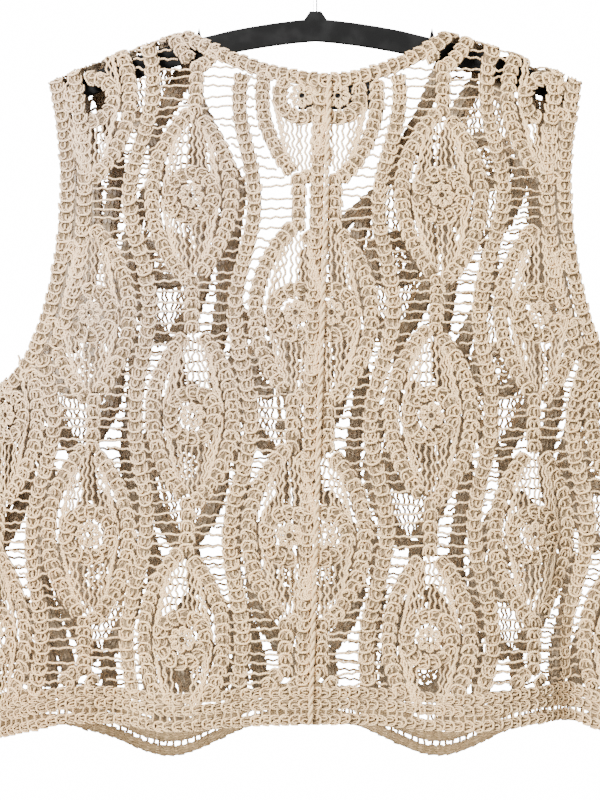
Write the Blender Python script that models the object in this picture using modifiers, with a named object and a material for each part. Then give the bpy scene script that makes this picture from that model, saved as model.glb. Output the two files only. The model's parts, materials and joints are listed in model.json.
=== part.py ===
"""A sleeveless crochet lace top with a V-neck front, hanging by its shoulders on a slim hanger.

Metres, +Z up. The origin is the inner top of the hanger's hook. The back of the top faces -Y, its front +Y.

Each cloth piece is a wall standing outward from one surface, its inner face. A point of that surface is given
by its girth, the distance round the body from the middle, and its level, its height on the upright part of
the cloth.
"""

import math

import bmesh
import bpy
import numpy as np
from mathutils import Vector

# ---- driving sizes ----
WALL = 0.0024
GAP = 0.0003
BACK = -1
FRONT = 1

NECK_HALF = 0.105
NECK_LEVEL = -0.087
TIP_HALF = 0.2136
SHOULDER_SLOPE = 0.27
SHOULDER_ROUND = 0.9
BACK_NECK_DROP = 0.040
BACK_NECK_POWER = 1.8

# The front neck falls as a V and ends in an upright slot that hangs a little to one side.
V_COLUMNS = ("t", "left_x", "right_x", "level")
V_NECK = [
    (0.00, -0.039, -0.039, -0.3120),
    (0.05, -0.053, -0.025, -0.3105),
    (0.11, -0.063, -0.015, -0.3010),
    (0.25, -0.063, -0.013, -0.2600),
    (0.48, -0.055, 0.048, -0.2080),
    (0.74, -0.087, 0.083, -0.1450),
    (1.00, -0.105, 0.105, -0.0870),
]

ARMHOLE_IN = 0.2008
ARMHOLE_IN_LEVEL = -0.221
UNDERARM_LEVEL = -0.371

CHEST_HALF = 0.250
HEM_HALF = 0.263
HEM_LEVEL = -0.631
HEM_HEIGHT = 0.031
BAND = 0.0125

RIDGE_RADIUS = 0.008
BODY_DEPTH = 0.047
FILL_LENGTH = 0.16
ROUNDNESS = 2.6

SEAM_WIDTH = 0.005
SEAM_THICK = 0.0040
SEAM_COLUMNS = ("sheet", "x_top", "x_hem")
SEAMS = [
    (BACK, 0.0120, -0.0048),
    (FRONT, -0.0550, -0.0100),
]

# Each hem hangs lowest, as a lobe, under the second motif column on either side.
LOBE_AT = 0.112
LOBE_HALF_WIDTH = 0.058
SIDE_HEM_LEVEL = -0.652
HEM_COLUMNS = ("sheet", "middle_level", "lobe_drop")
HEMS = [
    (BACK, -0.6310, 0.0050),
    (FRONT, -0.6500, 0.0290),
]

# The main folds: an inward trough has a positive depth, an outward ridge a negative one.
FOLD_COLUMNS = ("sheet", "x_top", "x_hem", "starts", "half_width", "depth")
FOLDS = [
    (BACK, 0.190, 0.199, -0.330, 0.017, 0.019),
    (BACK, 0.218, 0.230, -0.360, 0.013, -0.006),
    (BACK, -0.138, -0.150, -0.300, 0.022, 0.010),
    (BACK, -0.205, -0.215, -0.340, 0.020, -0.007),
    (BACK, -0.095, -0.105, -0.520, 0.030, -0.006),
    (BACK, 0.060, 0.045, -0.420, 0.026, 0.005),
    (BACK, 0.118, 0.128, -0.480, 0.030, -0.007),
    (FRONT, 0.105, 0.112, -0.420, 0.040, 0.014),
    (FRONT, -0.112, -0.120, -0.400, 0.040, 0.013),
    (FRONT, 0.002, -0.004, -0.450, 0.035, -0.010),
    (FRONT, 0.180, 0.196, -0.380, 0.022, -0.008),
    (FRONT, -0.182, -0.192, -0.360, 0.020, 0.009),
]

LABEL_WIDTH = 0.060
LABEL_HEIGHT = 0.024
LABEL_THICK = 0.0008
LABEL_CLEAR = 0.0008
LABEL_MIDDLE = 0.016
LABEL_TOP = -0.132

HANGER_HALF = 0.205
HANGER_THICK = 0.005
HANGER_TALL = 0.017
HANGER_BELOW = 0.006
NOTCH_AT = 0.093
NOTCH_TALL = 0.008
NOTCH_WIDE = 0.004
BOSS_HALF = 0.009
BOSS_TALL = 0.006
HOOK_WIRE = 0.0017
HOOK_RADIUS = 0.0175

SAND = (0.62, 0.47, 0.33)
BLACK = (0.012, 0.011, 0.012)
STEEL = (0.62, 0.62, 0.64)


# ---- the surface of the cloth ----
def shoulder(x):
    """Height of the shoulder ridge over x."""
    past = np.sqrt(np.square(x) + 1e-6) - NECK_HALF
    return NECK_LEVEL - SHOULDER_SLOPE * past - SHOULDER_ROUND * past * past


def smooth(t):
    t = np.clip(t, 0.0, 1.0)
    return t * t * (3 - 2 * t)


def half_width(level):
    below = (UNDERARM_LEVEL - level) / (UNDERARM_LEVEL - HEM_LEVEL)
    return CHEST_HALF + (HEM_HALF - CHEST_HALF) * smooth(below)


def folded_in(sheet, x, level):
    """How far the folds push the cloth towards the middle of the body."""
    total = np.zeros(np.broadcast(x, level).shape)
    for row in FOLDS:
        fold = dict(zip(FOLD_COLUMNS, row))
        if fold["sheet"] == sheet:
            grown = (fold["starts"] - level) / (fold["starts"] - HEM_LEVEL)
            middle = fold["x_top"] + (fold["x_hem"] - fold["x_top"]) * np.clip(grown, 0, 1.1)
            across = np.exp(-np.square((x - middle) / fold["half_width"]))
            total = total + fold["depth"] * smooth(grown) * across
    return total


def raised(sheet, x, level, fullness):
    """The point at x and level. fullness is 1 at the middle of a sheet and 0 where it turns the side."""
    down = np.maximum(shoulder(x) - level, 0.0)
    turn = np.minimum(down / RIDGE_RADIUS, math.pi / 2)
    over = RIDGE_RADIUS * (1 - np.cos(turn))
    below = np.maximum(down - RIDGE_RADIUS * math.pi / 2, 0.0)
    z = shoulder(x) - over - below
    depth = RIDGE_RADIUS * np.sin(turn) + BODY_DEPTH * (1 - np.exp(-below / FILL_LENGTH))
    held = np.minimum(1.0, 1.6 * fullness)
    y = sheet * (depth * fullness - folded_in(sheet, x, level) * held)
    return np.stack(np.broadcast_arrays(x, y, z), axis=-1)


LEVELS = np.linspace(-0.72, -0.05, 90)
SHARES = np.linspace(0.0, 1.0, 80)


def girth_table(sheet, sign):
    """For each level: x and fullness at even steps of girth from middle to side, and the whole girth."""
    angle = np.linspace(0.0, math.pi / 2, 160)
    xs = np.empty((len(LEVELS), len(SHARES)))
    fulls = np.empty_like(xs)
    girths = np.empty(len(LEVELS))
    for k, level in enumerate(LEVELS):
        x = sign * half_width(level) * np.sin(angle) ** (2 / ROUNDNESS)
        full = np.maximum(np.cos(angle), 0.0) ** (2 / ROUNDNESS)
        line = raised(sheet, x, level, full)
        run = np.concatenate([[0.0], np.cumsum(np.linalg.norm(np.diff(line, axis=0), axis=1))])
        girths[k] = run[-1]
        xs[k] = np.interp(SHARES * run[-1], run, x)
        fulls[k] = np.interp(SHARES * run[-1], run, full)
    return xs, fulls, girths


TABLES = {(sheet, sign): girth_table(sheet, sign) for sheet in (BACK, FRONT) for sign in (-1, 1)}


def side_girth(sheet, sign, level):
    return float(np.interp(level, LEVELS, TABLES[sheet, sign][2]))


def surface(sheet, girth, level):
    """The point of the cloth at this signed girth and level."""
    xs, fulls, girths = TABLES[sheet, 1 if girth >= 0 else -1]
    share = min(abs(girth) / np.interp(level, LEVELS, girths), 1.0)
    at = (level - LEVELS[0]) / (LEVELS[1] - LEVELS[0])
    low = int(np.clip(at, 0, len(LEVELS) - 2))
    part = at - low
    x, full = [np.interp(share, SHARES, table[low]) * (1 - part)
               + np.interp(share, SHARES, table[low + 1]) * part for table in (xs, fulls)]
    return raised(sheet, x, level, full)


def girth_at(sheet, x, level):
    """The signed girth of the point over x at this level."""
    sign = 1 if x >= 0 else -1
    xs, _, girths = TABLES[sheet, sign]
    at = int(np.clip(np.searchsorted(LEVELS, level), 1, len(LEVELS) - 1))
    part = (level - LEVELS[at - 1]) / (LEVELS[at] - LEVELS[at - 1])
    row = xs[at - 1] * (1 - part) + xs[at] * part
    share = np.interp(abs(x), np.abs(row), SHARES)
    return sign * share * float(np.interp(level, LEVELS, girths))


def outward(sheet, girth, level):
    """Unit vector out of the cloth."""
    step = 0.0008
    along = surface(sheet, girth + step, level) - surface(sheet, girth - step, level)
    down = surface(sheet, girth, level - step) - surface(sheet, girth, level)
    normal = np.cross(along, down) * sheet
    return normal / np.linalg.norm(normal)


# ---- the cut: outlines in girth and level ----
def row_of(table, columns, sheet):
    return next(dict(zip(columns, row)) for row in table if row[0] == sheet)


def lean(sheet, level):
    """Where the middle seam runs. The hanging top is a little twisted, so it isn't quite upright."""
    seam = row_of(SEAMS, SEAM_COLUMNS, sheet)
    share = min(max((NECK_LEVEL - level) / (NECK_LEVEL - HEM_LEVEL), 0.0), 1.05)
    return seam["x_top"] + (seam["x_hem"] - seam["x_top"]) * share


def neck_edge(sheet, t, sign):
    """(girth, level) on the neck edge, from the middle at t 0 to the shoulder ridge at t 1."""
    if sheet == BACK:
        start = lean(BACK, NECK_LEVEL - BACK_NECK_DROP) * (1 - t)
        x = sign * NECK_HALF * t + start
        level = NECK_LEVEL - BACK_NECK_DROP * (1 - t ** BACK_NECK_POWER)
    else:
        ts, left, right, levels = zip(*V_NECK)
        x = float(np.interp(t, ts, left if sign < 0 else right))
        level = float(np.interp(t, ts, levels))
    return girth_at(sheet, x, level), level


def armhole_edge(sheet, t, sign):
    """(girth, level) on the armhole edge, from the shoulder tip at t 0 to the underarm at t 1."""
    deepest = 0.34
    if t < deepest:
        share = t / deepest
        x = TIP_HALF + (ARMHOLE_IN - TIP_HALF) * math.sin(share * math.pi / 2)
        top = float(shoulder(TIP_HALF))
        level = top + (ARMHOLE_IN_LEVEL - top) * share
        return girth_at(sheet, sign * x, level), level
    turn = (t - deepest) / (1 - deepest) * math.pi / 2
    level = ARMHOLE_IN_LEVEL + (UNDERARM_LEVEL - ARMHOLE_IN_LEVEL) * math.sin(turn) ** 1.15
    inner = abs(girth_at(sheet, sign * ARMHOLE_IN, level))
    side = side_girth(sheet, sign, level)
    return sign * (side - (side - inner) * math.cos(turn) ** 0.85), level


def hem_edge(sheet, share, sign):
    """(girth, level) on the hem, from the middle seam at share 0 to the side at share 1."""
    hem = row_of(HEMS, HEM_COLUMNS, sheet)
    middle = lean(sheet, HEM_LEVEL)
    from_middle = share * (side_girth(sheet, sign, HEM_LEVEL) - sign * middle)
    lobe = math.exp(-((from_middle - LOBE_AT) / LOBE_HALF_WIDTH) ** 2)
    side = float(smooth((share - 0.62) / 0.38))
    level = hem["middle_level"] - hem["lobe_drop"] * lobe * (1 - side)
    level += (SIDE_HEM_LEVEL - level) * side
    return middle + share * (sign * side_girth(sheet, sign, level) - middle), level


def inward(edge, sheet, t, sign):
    """Unit vector square to an edge at t, into the cloth."""
    step = 0.03
    before, after = edge(sheet, max(t - step, 0.0), sign), edge(sheet, min(t + step, 1.0), sign)
    along, up = after[0] - before[0], after[1] - before[1]
    length = math.hypot(along, up)
    return sign * up / length, -sign * along / length


def moved(edge, sheet, t, sign, by, from_ridge):
    """A point of an edge moved into the cloth. Close to the shoulder ridge it moves along the ridge."""
    girth, level = edge(sheet, t, sign)
    across, down = inward(edge, sheet, t, sign)
    near = 1 - float(smooth(from_ridge / 0.12))
    x = abs(girth)
    slope = float(shoulder(x + math.copysign(by, across * sign)) - shoulder(x))
    across = across * (1 - near) + math.copysign(near, across)
    return girth + across * by, level + down * by * (1 - near) + slope * near


def neck_point(sheet, t, sign, by):
    """The neck edge at t, moved by this much into the cloth."""
    if t == 0:
        girth, level = neck_edge(sheet, 0.0, sign)
        return girth, level - by
    if t == 1:
        x = sign * (NECK_HALF + by)
        return girth_at(sheet, x, float(shoulder(x))), float(shoulder(x))
    return moved(neck_edge, sheet, t, sign, by, 1 - t)


def armhole_point(sheet, t, sign, by):
    """The armhole edge at t, moved by this much into the cloth."""
    if t == 0:
        x = sign * (TIP_HALF - by)
        return girth_at(sheet, x, float(shoulder(x))), float(shoulder(x))
    if t == 1:
        level = UNDERARM_LEVEL - by
        return sign * side_girth(sheet, sign, level), level
    girth, level = moved(armhole_edge, sheet, t, sign, by, t)
    return sign * min(sign * girth, side_girth(sheet, sign, level)), level


# ---- making walls ----
def material(name, colour, roughness, metallic=0.0):
    made = bpy.data.materials.new(name)
    made.use_nodes = True
    shader = made.node_tree.nodes["Principled BSDF"]
    shader.inputs["Base Color"].default_value = (*colour, 1.0)
    shader.inputs["Roughness"].default_value = roughness
    shader.inputs["Metallic"].default_value = metallic
    return made


def finish(name, mesh, collection, look):
    made = bpy.data.objects.new(name, mesh)
    collection.objects.link(made)
    mesh.materials.append(look)
    return made


def wall(name, bm, collection, look, thickness=WALL):
    """Gives an open surface its thickness, outward."""
    bm.normal_update()
    facing = sum(face.normal.y * face.calc_center_median().y * face.calc_area() for face in bm.faces)
    if facing < 0:
        bmesh.ops.reverse_faces(bm, faces=bm.faces[:])
    mesh = bpy.data.meshes.new(name)
    bm.to_mesh(mesh)
    bm.free()
    made = finish(name, mesh, collection, look)
    solid = made.modifiers.new("thickness", "SOLIDIFY")
    solid.thickness = thickness
    solid.offset = 1.0
    mesh.shade_smooth()
    return made


def open_sheet(columns, rows, place):
    """A grid whose point at column i and row j, counted from the lower left, is put at place(i, j)."""
    bm = bmesh.new()
    bmesh.ops.create_grid(bm, x_segments=columns, y_segments=rows, size=1.0)
    for vert in bm.verts:
        i, j = round((vert.co.x + 1) / 2 * columns), round((vert.co.y + 1) / 2 * rows)
        vert.co = Vector(place(i, j))
    return bm


def closed_band(edge, far):
    """A ring strip between two closed rows of points."""
    bm = bmesh.new()
    steps = len(edge)
    bmesh.ops.create_cone(bm, cap_ends=False, segments=steps, radius1=1.0, radius2=1.0, depth=2.0)
    for vert in bm.verts:
        step = round(math.atan2(vert.co.y, vert.co.x) / (2 * math.pi) * steps) % steps
        vert.co = Vector((far if vert.co.z > 0 else edge)[step])
    return bm


# ---- how the panels and bands are divided, so that their edges meet point for point ----
COLUMNS = 17
ROWS = 25
CLOSE_TO_SIDE = 0.014
ACROSS = [i / (COLUMNS - 1) * (1 - CLOSE_TO_SIDE) for i in range(COLUMNS)] + [1.0]
NECK_TS = {
    BACK: (0.0, 0.2, 0.4, 0.6, 0.78, 0.91, 0.97, 1.0),
    FRONT: (0.0, 0.05, 0.11, 0.18, 0.25, 0.36, 0.48, 0.60, 0.74, 0.86, 0.96, 1.0),
}
ARMHOLE_TS = (0.0, 0.014, 0.035, 0.07, 0.13, 0.21, 0.30, 0.40, 0.51, 0.60, 0.69, 0.79, 0.88, 0.95, 1.0)


def seam_edge(sheet, sign, level):
    return lean(sheet, level) + sign * (SEAM_WIDTH / 2 + GAP)


def panel(sheet, sign):
    """Half a back or a front: a patch from its middle seam and neck band to its side and armhole band."""
    clear = BAND + GAP
    ridge = GAP / 2
    neck_ts, armhole_ts = NECK_TS[sheet], ARMHOLE_TS
    seam_rows, side_rows = ROWS + 1 - len(neck_ts), ROWS + 1 - len(armhole_ts)

    def right(j):
        if j <= side_rows:
            low = hem_edge(sheet, 1.0, sign)[1] + HEM_HEIGHT + GAP
            level = low + (UNDERARM_LEVEL - clear - low) * j / side_rows
            girth = side_girth(sheet, sign, level) - GAP / 2
        else:
            girth, level = armhole_point(sheet, armhole_ts[ROWS - j], sign, clear + GAP)
            girth = min(sign * girth, side_girth(sheet, sign, level) - GAP / 2)
        return np.array((sign * girth, level - (ridge if j == ROWS else 0)))

    def left(j):
        if j > seam_rows:
            girth, level = neck_point(sheet, neck_ts[j - seam_rows], sign, clear)
            return np.array((girth, level - (ridge if j == ROWS else 0)))
        low = hem_edge(sheet, 0.0, sign)[1] + HEM_HEIGHT + GAP
        high = neck_point(sheet, 0.0, sign, clear)[1]
        underarm = UNDERARM_LEVEL - clear
        if j <= side_rows:
            level = low + (underarm - low) * j / side_rows
        else:
            level = underarm + (high - underarm) * (j - side_rows) / (seam_rows - side_rows)
        return np.array((seam_edge(sheet, sign, level), level))

    def bottom(i):
        if i in (0, COLUMNS):
            return right(0) if i else left(0)
        girth, level = hem_edge(sheet, ACROSS[i], sign)
        return np.array((girth, level + HEM_HEIGHT + GAP))

    def top(i):
        start, stop = left(ROWS), right(ROWS)
        if i in (0, COLUMNS):
            return stop if i else start
        x = sign * (NECK_HALF + clear + (TIP_HALF - NECK_HALF - 2 * clear) * ACROSS[i])
        return np.array((start[0] + (stop[0] - start[0]) * ACROSS[i], float(shoulder(x)) - ridge))

    lefts, rights = [left(j) for j in range(ROWS + 1)], [right(j) for j in range(ROWS + 1)]
    lows, tops = [bottom(i) for i in range(COLUMNS + 1)], [top(i) for i in range(COLUMNS + 1)]

    def place(i, j):
        u, v = ACROSS[i], j / ROWS
        ruled = (1 - u) * lefts[j] + u * rights[j] + (1 - v) * lows[i] + v * tops[i]
        shared = (1 - v) * ((1 - u) * lows[0] + u * lows[-1]) + v * ((1 - u) * tops[0] + u * tops[-1])
        return surface(sheet, *(ruled - shared))

    return open_sheet(COLUMNS, ROWS, place)


def middle_seam(sheet):
    """The chained ridge that joins the two halves. It stands proud of the cloth outside, level inside."""
    top = neck_point(sheet, 0.0, 1, BAND + GAP)[1]
    low = hem_edge(sheet, 0.0, 1)[1] + HEM_HEIGHT + GAP

    def place(i, j):
        level = low + (top - low) * j / ROWS
        return surface(sheet, lean(sheet, level) + SEAM_WIDTH * (i / 2 - 0.5), level)

    return open_sheet(2, ROWS, place)


def neck_band():
    """One strip round the neck."""
    ring = [(BACK, 1, t) for t in NECK_TS[BACK][:-1]]
    ring += [(FRONT, 1, t) for t in reversed(NECK_TS[FRONT][1:])]
    ring += [(FRONT, -1, t) for t in NECK_TS[FRONT][:-1]]
    ring += [(BACK, -1, t) for t in reversed(NECK_TS[BACK][1:])]
    return closed_band(*[[surface(sheet, *neck_point(sheet, t, sign, by)) for sheet, sign, t in ring]
                         for by in (0.0, BAND)])


def armhole_band(sign):
    """One strip round an armhole: down the back, under the arm and up the front."""
    ring = [(BACK, t) for t in ARMHOLE_TS[:-1]] + [(FRONT, t) for t in reversed(ARMHOLE_TS[1:])]
    return closed_band(*[[surface(sheet, *armhole_point(sheet, t, sign, by)) for sheet, t in ring]
                         for by in (0.0, BAND)])


def hem_band():
    """The two edging rounds along the hem, all round the body."""
    ring = [(BACK, 1, u) for u in ACROSS[:-1]] + [(FRONT, 1, u) for u in reversed(ACROSS[1:])]
    ring += [(FRONT, -1, u) for u in ACROSS[:-1]] + [(BACK, -1, u) for u in reversed(ACROSS[1:])]

    def point(sheet, sign, share, up):
        girth, level = hem_edge(sheet, share, sign)
        if share == 1.0:
            girth = sign * side_girth(sheet, sign, level + up)
        return surface(sheet, girth, level + up)

    return closed_band(*[[point(sheet, sign, share, up) for sheet, sign, share in ring]
                         for up in (0.0, HEM_HEIGHT)])


def neck_label():
    """A small plain label inside the back neck."""
    inside = LABEL_THICK + LABEL_CLEAR

    def place(i, j):
        level = LABEL_TOP - LABEL_HEIGHT * (1 - j / 2)
        girth = LABEL_MIDDLE + LABEL_WIDTH * (i / 4 - 0.5)
        return surface(BACK, girth, level) - inside * outward(BACK, girth, level)

    return open_sheet(4, 2, place)


# ---- the hanger ----
def hanger_top(x):
    return float(shoulder(x)) - HANGER_BELOW


def hanger_arms(collection, look):
    """Two flat arms in one outline, with a strap notch's lip on each and a boss under the hook."""
    tip_x = HANGER_HALF
    upper = []
    steps = 12
    for k in range(steps + 1):
        x = tip_x * (1 - k / steps)
        if abs(x - NOTCH_AT) < tip_x / steps / 2:
            upper += [(NOTCH_AT + NOTCH_WIDE / 2, hanger_top(NOTCH_AT)),
                      (NOTCH_AT, hanger_top(NOTCH_AT) + NOTCH_TALL),
                      (NOTCH_AT - NOTCH_WIDE / 2, hanger_top(NOTCH_AT))]
        elif x > BOSS_HALF:
            upper.append((x, hanger_top(x)))
    upper += [(BOSS_HALF, hanger_top(BOSS_HALF)), (BOSS_HALF / 2, hanger_top(0) + BOSS_TALL)]
    inner = [tip_x * (1 - k / steps) for k in range(1, steps + 1)]
    lower = [(x, hanger_top(x) - HANGER_TALL) for x in inner]
    lower[0] = (tip_x - HANGER_TALL / 3, hanger_top(tip_x) - HANGER_TALL * 0.8)
    right = [(x, z) for x, z in upper]
    outline = right + [(-x, z) for x, z in reversed(right)]
    outline += [(-x, z) for x, z in lower] + [(x, z) for x, z in reversed(lower[:-1])]
    curve = bpy.data.curves.new("hanger_arms", "CURVE")
    curve.dimensions = "2D"
    curve.fill_mode = "BOTH"
    curve.extrude = HANGER_THICK / 2
    spline = curve.splines.new("POLY")
    spline.points.add(len(outline) - 1)
    for point, (x, z) in zip(spline.points, outline):
        point.co = (x, z, 0.0, 1.0)
    spline.use_cyclic_u = True
    curve.materials.append(look)
    made = bpy.data.objects.new("hanger_arms", curve)
    made.rotation_euler = (math.pi / 2, 0.0, 0.0)
    collection.objects.link(made)


def hanger_hook(collection, look):
    """A bent wire: a straight stem out of the boss, then three quarters of a circle round to the origin."""
    centre = -HOOK_RADIUS + HOOK_WIRE
    foot = hanger_top(0) + BOSS_TALL + GAP
    path = [(0.0, foot), (0.0, centre - 1.5 * HOOK_RADIUS)]
    start, stop, turns = -70, 180, 12
    for k in range(turns + 1):
        angle = math.radians(start + (stop - start) * k / turns)
        path.append((HOOK_RADIUS * math.cos(angle), centre + HOOK_RADIUS * math.sin(angle)))
    curve = bpy.data.curves.new("hanger_hook", "CURVE")
    curve.dimensions = "3D"
    curve.bevel_depth = HOOK_WIRE
    curve.bevel_resolution = 2
    curve.use_fill_caps = True
    spline = curve.splines.new("POLY")
    spline.points.add(len(path) - 1)
    for point, (x, z) in zip(spline.points, path):
        point.co = (x, 0.0, z, 1.0)
    curve.materials.append(look)
    collection.objects.link(bpy.data.objects.new("hanger_hook", curve))


def main():
    for old in list(bpy.data.objects):
        bpy.data.objects.remove(old)
    collection = bpy.data.collections.new("crochet_top")
    bpy.context.scene.collection.children.link(collection)
    yarn = material("cotton_crochet", SAND, 0.9)
    label = material("label_weave", BLACK, 0.8)
    flock = material("hanger_flock", BLACK, 0.85)
    steel = material("hook_steel", STEEL, 0.3, 1.0)
    for sheet, word in ((BACK, "back"), (FRONT, "front")):
        wall(word + "_left", panel(sheet, -1), collection, yarn)
        wall(word + "_right", panel(sheet, 1), collection, yarn)
        wall(word + "_seam", middle_seam(sheet), collection, yarn, SEAM_THICK)
    wall("neck_band", neck_band(), collection, yarn)
    wall("armhole_band_left", armhole_band(-1), collection, yarn)
    wall("armhole_band_right", armhole_band(1), collection, yarn)
    wall("hem_band", hem_band(), collection, yarn)
    wall("neck_label", neck_label(), collection, label, LABEL_THICK)
    hanger_arms(collection, flock)
    hanger_hook(collection, steel)


main()
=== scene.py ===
# %% [markdown]
# # A crochet lace top on a hanger
# The top is made of narrow crocheted tape. The tape runs in almond shapes round small rosettes, and in
# winding lines between them, and thin wavy threads join neighbouring tapes. The hanger and the sizes come
# from the engineering model, which is loaded here and isn't changed.

# %% Load the frame
import json
import math

import bmesh
import bpy
import numpy as np
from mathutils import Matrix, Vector

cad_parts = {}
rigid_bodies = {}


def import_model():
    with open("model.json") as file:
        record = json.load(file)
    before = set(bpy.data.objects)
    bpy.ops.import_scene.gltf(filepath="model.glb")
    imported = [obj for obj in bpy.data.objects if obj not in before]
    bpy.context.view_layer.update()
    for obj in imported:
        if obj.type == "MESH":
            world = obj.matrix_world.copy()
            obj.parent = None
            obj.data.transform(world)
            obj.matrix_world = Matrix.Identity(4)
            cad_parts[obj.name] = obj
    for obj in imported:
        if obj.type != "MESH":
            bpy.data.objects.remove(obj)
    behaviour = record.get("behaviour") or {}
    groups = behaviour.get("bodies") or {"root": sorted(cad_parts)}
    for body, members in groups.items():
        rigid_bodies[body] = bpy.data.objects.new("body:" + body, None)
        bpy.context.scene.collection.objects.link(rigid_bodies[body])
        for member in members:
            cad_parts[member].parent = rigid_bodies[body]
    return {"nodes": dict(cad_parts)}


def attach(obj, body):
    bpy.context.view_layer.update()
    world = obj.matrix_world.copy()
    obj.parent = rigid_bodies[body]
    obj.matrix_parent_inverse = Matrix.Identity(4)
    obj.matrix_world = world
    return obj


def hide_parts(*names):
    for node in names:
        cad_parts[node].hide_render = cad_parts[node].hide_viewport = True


for obj in list(bpy.data.objects):
    bpy.data.objects.remove(obj)
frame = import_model()
bpy.context.view_layer.update()
MM = 0.001
rng = np.random.default_rng(7)

# %% [markdown]
# ## The surface of the cloth
# The real cloth hangs from its shoulders and stands a little hollow. It could be draped by simulation,
# but a formula keeps every tape on the solid walls, which were made with this same formula, and it gives
# the same place each time. A place has a girth, measured round the body from the middle, and a level, its
# height. Numpy arrays hold many places at once, because the lace has tens of thousands of them.

# %% Sizes of the cut
BACK, FRONT = -1, 1
WALL = 2.4 * MM
NECK_HALF, NECK_LEVEL = 0.105, -0.087
TIP_HALF = 0.2136
SHOULDER_SLOPE, SHOULDER_ROUND = 0.27, 0.9
BACK_NECK_DROP, BACK_NECK_POWER = 0.040, 1.8
# Columns: t along the edge, x of the left side, x of the right side, level.
V_NECK = [
    (0.00, -0.039, -0.039, -0.3120),
    (0.05, -0.053, -0.025, -0.3105),
    (0.11, -0.063, -0.015, -0.3010),
    (0.25, -0.063, -0.013, -0.2600),
    (0.48, -0.055, 0.048, -0.2080),
    (0.74, -0.087, 0.083, -0.1450),
    (1.00, -0.105, 0.105, -0.0870),
]
ARMHOLE_IN, ARMHOLE_IN_LEVEL, UNDERARM_LEVEL = 0.2008, -0.221, -0.371
CHEST_HALF, HEM_HALF = 0.250, 0.263
HEM_LEVEL, SIDE_HEM_LEVEL, HEM_HEIGHT = -0.631, -0.652, 0.031
BAND = 12.5 * MM
RIDGE_RADIUS, BODY_DEPTH, FILL_LENGTH, ROUNDNESS = 0.008, 0.047, 0.16, 2.6
# For each sheet the middle seam's x at the neck and at the hem.
SEAMS = {BACK: (0.0120, -0.0048), FRONT: (-0.0550, -0.0100)}
LOBE_AT, LOBE_HALF_WIDTH = 0.112, 0.058
# For each sheet the hem's level, and how far its two lobes reach below that.
HEMS = {BACK: (-0.6310, 0.0050), FRONT: (-0.6500, 0.0290)}
FOLD_COLUMNS = ("sheet", "x_top", "x_hem", "starts", "half_width", "depth")
FOLDS = [
    (BACK, 0.190, 0.199, -0.330, 0.017, 0.019),
    (BACK, 0.218, 0.230, -0.360, 0.013, -0.006),
    (BACK, -0.138, -0.150, -0.300, 0.022, 0.010),
    (BACK, -0.205, -0.215, -0.340, 0.020, -0.007),
    (BACK, -0.095, -0.105, -0.520, 0.030, -0.006),
    (BACK, 0.060, 0.045, -0.420, 0.026, 0.005),
    (BACK, 0.118, 0.128, -0.480, 0.030, -0.007),
    (FRONT, 0.105, 0.112, -0.420, 0.040, 0.014),
    (FRONT, -0.112, -0.120, -0.400, 0.040, 0.013),
    (FRONT, 0.002, -0.004, -0.450, 0.035, -0.010),
    (FRONT, 0.180, 0.196, -0.380, 0.022, -0.008),
    (FRONT, -0.182, -0.192, -0.360, 0.020, 0.009),
]


# %% The surface formula
def shoulder(x):
    """Level of the shoulder ridge over x."""
    past = np.sqrt(np.square(x) + 1e-6) - NECK_HALF
    return NECK_LEVEL - SHOULDER_SLOPE * past - SHOULDER_ROUND * past * past


def smooth(t):
    """0 to 1 with a soft start and end."""
    t = np.clip(t, 0.0, 1.0)
    return t * t * (3 - 2 * t)


def half_width(level):
    """Half the body's width, which grows a little from the underarm to the hem."""
    grown = smooth((UNDERARM_LEVEL - level) / (UNDERARM_LEVEL - HEM_LEVEL))
    return CHEST_HALF + (HEM_HALF - CHEST_HALF) * grown


def folded_in(sheet, x, level):
    """How far the soft folds push the cloth in at this place."""
    total = np.zeros(np.broadcast(x, level).shape)
    for row in FOLDS:
        fold = dict(zip(FOLD_COLUMNS, row))
        if fold["sheet"] == sheet:
            grown = (fold["starts"] - level) / (fold["starts"] - HEM_LEVEL)
            middle = fold["x_top"] + (fold["x_hem"] - fold["x_top"]) * np.clip(grown, 0, 1.1)
            across = np.exp(-np.square((x - middle) / fold["half_width"]))
            total = total + fold["depth"] * smooth(grown) * across
    return total


def raised(sheet, x, level, fullness):
    """Points of a sheet over x. The fullness is 1 in the middle of the body and 0 at its side."""
    down = np.maximum(shoulder(x) - level, 0.0)
    turn = np.minimum(down / RIDGE_RADIUS, math.pi / 2)
    below = np.maximum(down - RIDGE_RADIUS * math.pi / 2, 0.0)
    z = shoulder(x) - RIDGE_RADIUS * (1 - np.cos(turn)) - below
    depth = RIDGE_RADIUS * np.sin(turn) + BODY_DEPTH * (1 - np.exp(-below / FILL_LENGTH))
    y = sheet * (depth * fullness - folded_in(sheet, x, level) * np.minimum(1.0, 1.6 * fullness))
    return np.stack(np.broadcast_arrays(x, y, z), axis=-1)


# %% Tables that turn girth into place
# Level tables reach a little past the hem and the neck. HALF is the number of steps from middle to side.
LEVELS = np.linspace(-0.74, -0.05, 160)
HALF = 90
SHARES = np.linspace(-1.0, 1.0, 2 * HALF + 1)


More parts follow.
